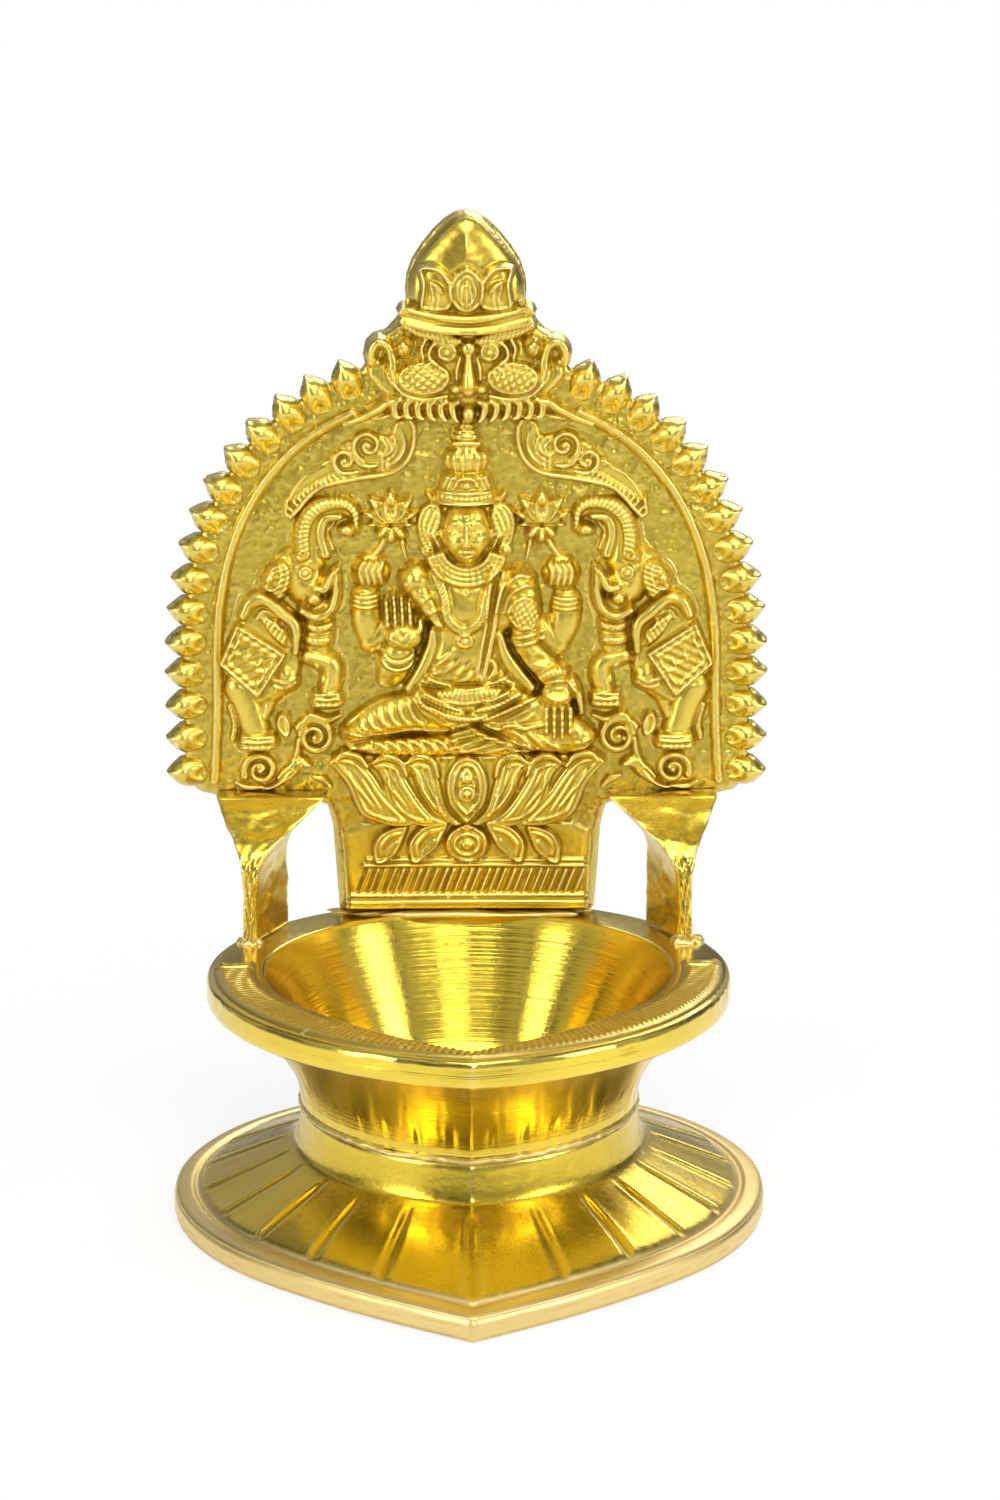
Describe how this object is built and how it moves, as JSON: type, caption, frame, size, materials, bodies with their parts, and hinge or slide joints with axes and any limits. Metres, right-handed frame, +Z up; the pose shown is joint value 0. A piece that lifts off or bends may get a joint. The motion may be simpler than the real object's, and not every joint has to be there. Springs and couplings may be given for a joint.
{
  "type": "oil lamp",
  "caption": "Brass devotional oil lamp: leaf-shaped flared foot, turned bowl with a pointed wick lip, and an arched back plate in relief on two pillars and a web.",
  "frame": {"origin": "middle of the foot's footprint, on the surface the lamp stands on", "axes": "+Z up, -Y towards the foot's and the bowl's pointed front, +X to the right of a person facing the lamp"},
  "size_m": [0.105, 0.1152, 0.1636],
  "materials": {
    "cast_brass": "polished sand casting",
    "turned_brass": "turned on a lathe and polished",
    "plate_brass": "cast, stippled ground, unpolished back",
    "relief_brass": "cast relief, buffed on its high places",
    "braze": "rough brazing bead"
  },
  "bodies": {
    "root": {"foot": "cast_brass", "bowl": "turned_brass", "neck_braze": "braze", "back_plate": "plate_brass", "left_pillar": "cast_brass", "right_pillar": "cast_brass", "left_pillar_braze": "braze", "right_pillar_braze": "braze", "web_braze": "braze", "rim_band": "cast_brass", "border_studs": "relief_brass", "border_rib": "relief_brass", "bud_finial": "relief_brass", "guardian_mask": "relief_brass", "goddess_figure": "relief_brass", "lotus_seat": "relief_brass", "lotus_band": "relief_brass", "left_elephant": "relief_brass", "right_elephant": "relief_brass", "left_lotus_flower": "relief_brass", "right_lotus_flower": "relief_brass", "upper_scrolls": "relief_brass", "lower_scrolls": "relief_brass"}
  },
  "joints": []
}
